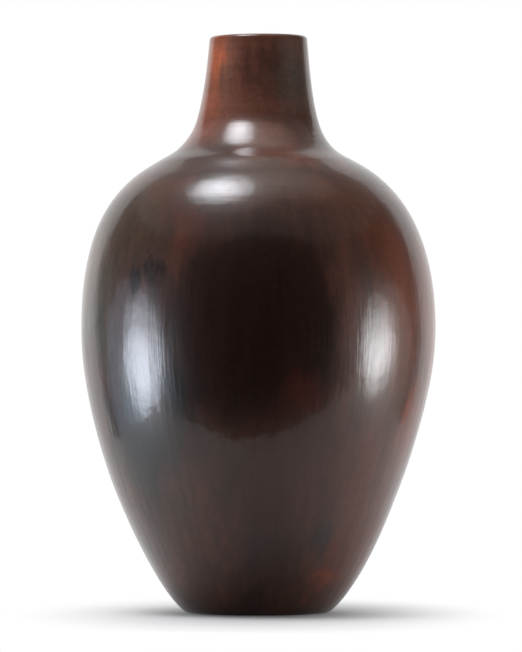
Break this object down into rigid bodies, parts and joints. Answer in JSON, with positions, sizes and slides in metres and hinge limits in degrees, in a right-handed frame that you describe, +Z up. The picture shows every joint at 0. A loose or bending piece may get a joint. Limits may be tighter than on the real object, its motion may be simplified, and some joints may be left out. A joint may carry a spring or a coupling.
{
  "type": "pottery jar",
  "caption": "Tall burnished pottery jar: narrow flat foot, egg-shaped body with a high round shoulder, and a short neck that sweeps up to a plain rounded lip.",
  "frame": {"origin": "on the ground, under the middle of the foot", "axes": "+Z up along the jar's axis, out of the mouth; +Y away from the picture's viewer, +X to the viewer's right"},
  "size_m": [0.276, 0.276, 0.45],
  "materials": {
    "burnished_clay": "burnished to a deep gloss before a smoky low firing, mottled red brown to olive black",
    "scraped_clay": "scraped and unburnished, dry and matt, smoked dark"
  },
  "bodies": {
    "root": {"base_slab": "scraped_clay", "foot_strap": "burnished_clay", "flare_strap": "burnished_clay", "lower_belly_strap": "burnished_clay", "belly_strap": "burnished_clay", "upper_belly_strap": "burnished_clay", "shoulder_strap": "burnished_clay", "collar_strap": "burnished_clay", "neck_root_strap": "burnished_clay", "neck_strap": "burnished_clay", "mouth_strap": "burnished_clay"}
  },
  "joints": []
}
